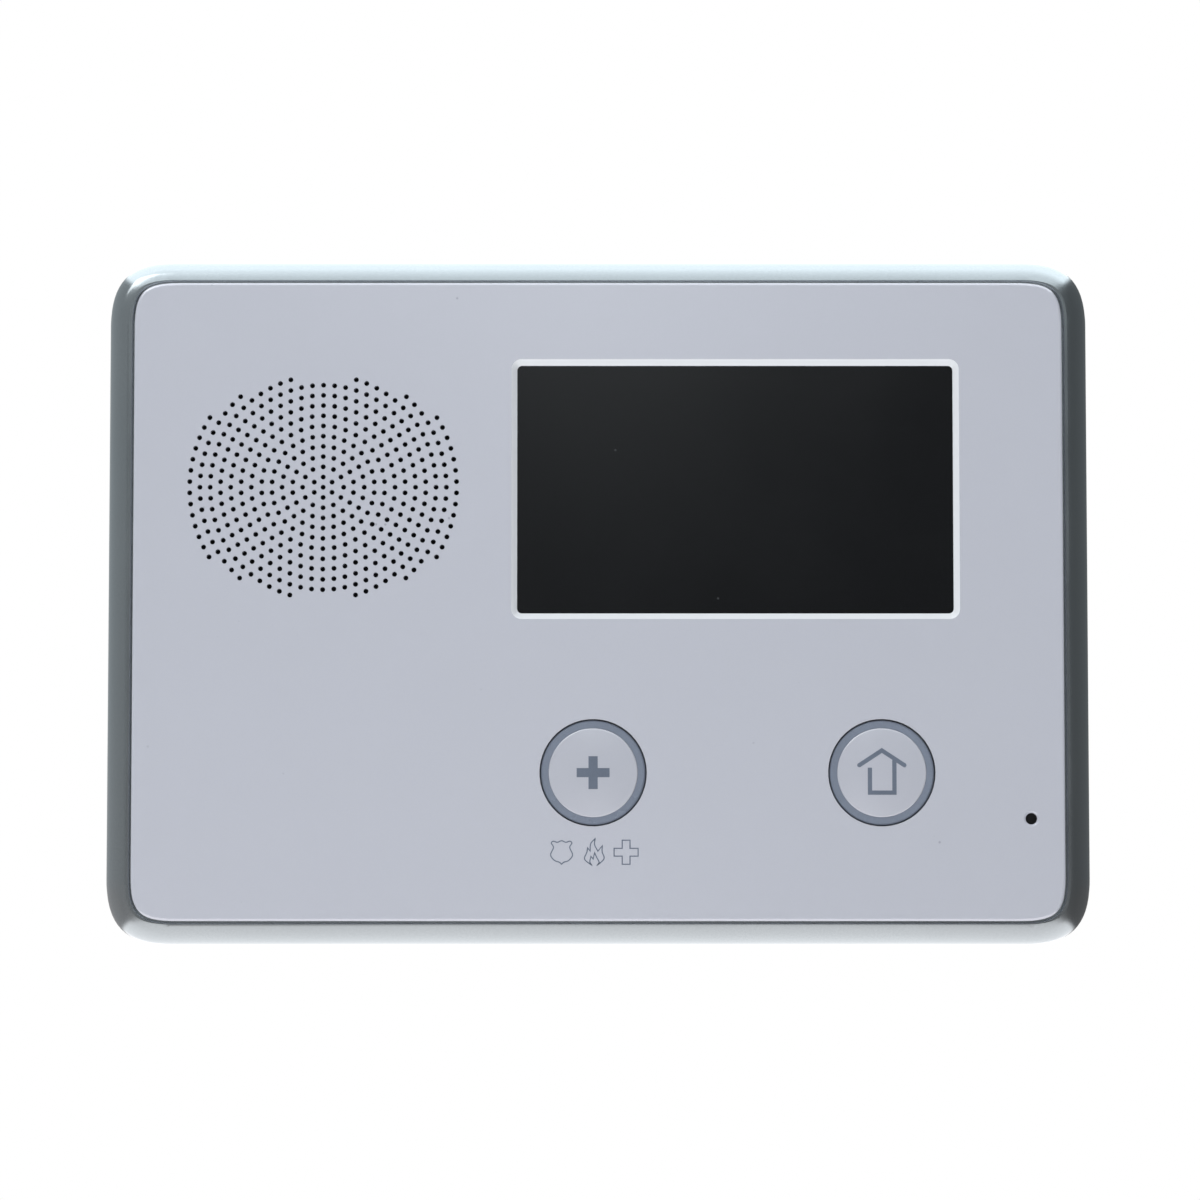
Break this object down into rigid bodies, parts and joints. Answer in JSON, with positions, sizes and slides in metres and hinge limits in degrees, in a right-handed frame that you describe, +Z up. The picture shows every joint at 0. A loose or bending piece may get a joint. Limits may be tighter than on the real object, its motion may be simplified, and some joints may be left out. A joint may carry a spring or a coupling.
{
  "type": "alarm keypad panel",
  "caption": "Wall-mounted alarm panel with a touch screen, speaker grille, two round push buttons and a silver surround, hung on a wall plate.",
  "frame": {"origin": "middle of the wall face of the wall plate, level with the middle of the panel", "axes": "+Z up, +X to the right seen from the front, +Y into the wall, so the face looks towards -Y"},
  "size_m": [0.1976, 0.0313, 0.138],
  "materials": {
    "face_plastic": "pale lilac-grey moulded plastic, high gloss",
    "cap_plastic": "pale lilac-grey moulded plastic, high gloss",
    "ring_plastic": "smoky translucent light guide",
    "icon_plastic": "grey inlay",
    "bezel_silver": "satin silver lacquer",
    "rear_plastic": "fine-textured light grey plastic",
    "plate_plastic": "fine-textured light grey plastic",
    "screen_glass": "black glossy glass",
    "lcd_glass": "dark glass",
    "white_plastic": "white diffuser plastic",
    "steel": "bright zinc plating",
    "magnet_steel": "dull plated steel",
    "cone_paper": "black pressed fibre",
    "mesh_cloth": "black woven dust cloth",
    "black_plastic": "black moulded plastic",
    "black_rubber": "soft black",
    "foam": "grey cell foam",
    "board": "green solder mask",
    "brass": "bare",
    "flex": "amber film",
    "wrap_blue": "heat-shrink film",
    "terminal_green": "green moulded plastic",
    "lead_red": "soft insulation"
  },
  "bodies": {
    "plate": {"wall_plate": "plate_plastic"},
    "console": {"rear_cover": "rear_plastic", "hinge_pins": "steel", "locking_screw": "steel", "bezel_frame": "bezel_silver", "faceplate": "face_plastic", "speaker_mesh": "mesh_cloth", "speaker_gasket": "foam", "speaker_frame": "steel", "speaker_magnet": "magnet_steel", "speaker_cone": "cone_paper", "speaker_dust_cap": "cone_paper", "speaker_screws": "steel", "screen_gasket": "foam", "touch_panel": "screen_glass", "lcd_panel": "lcd_glass", "lcd_backlight": "white_plastic", "lcd_frame": "steel", "lcd_ribbon": "flex", "display_standoffs": "brass", "main_board": "board", "board_screws": "steel", "board_chips": "black_plastic", "board_capacitors": "black_plastic", "terminal_block": "terminal_green", "terminal_screws": "steel", "radio_board": "board", "radio_shield": "steel", "radio_header": "black_plastic", "radio_antenna": "flex", "antenna_lead": "black_rubber", "tamper_switch": "black_plastic", "keypad_board": "board", "keypad_screws": "steel", "ring_leds": "white_plastic", "emergency_switch": "black_plastic", "home_switch": "black_plastic", "microphone": "cone_paper", "microphone_boot": "black_rubber", "battery_cells": "steel", "battery_wrap": "wrap_blue", "battery_foam": "foam", "battery_strap": "white_plastic", "battery_leads": "lead_red", "battery_connector": "white_plastic", "case_screws": "steel"},
    "emergency_button": {"emergency_cap": "cap_plastic", "emergency_light_ring": "ring_plastic", "emergency_icon": "icon_plastic", "emergency_plunger": "black_plastic"},
    "home_button": {"home_cap": "cap_plastic", "home_light_ring": "ring_plastic", "home_icon": "icon_plastic", "home_plunger": "black_plastic"},
    "tamper_pin": {"tamper_plunger": "white_plastic"}
  },
  "joints": [
    {"name": "console_swing", "type": "hinge", "parent": "plate", "child": "console", "pos_m": [0, -0.005, 0.0565], "axis": [-1, 0, 0], "range_deg": [0, 30]},
    {"name": "emergency_press", "type": "slide", "parent": "console", "child": "emergency_button", "axis": [0, 1, 0], "range_m": [0, 0.0008], "stiffness_N_per_m": 1500},
    {"name": "home_press", "type": "slide", "parent": "console", "child": "home_button", "axis": [0, 1, 0], "range_m": [0, 0.0008], "stiffness_N_per_m": 1500},
    {"name": "tamper_press", "type": "slide", "parent": "console", "child": "tamper_pin", "axis": [0, -1, 0], "range_m": [0, 0.0015], "stiffness_N_per_m": 300}
  ]
}
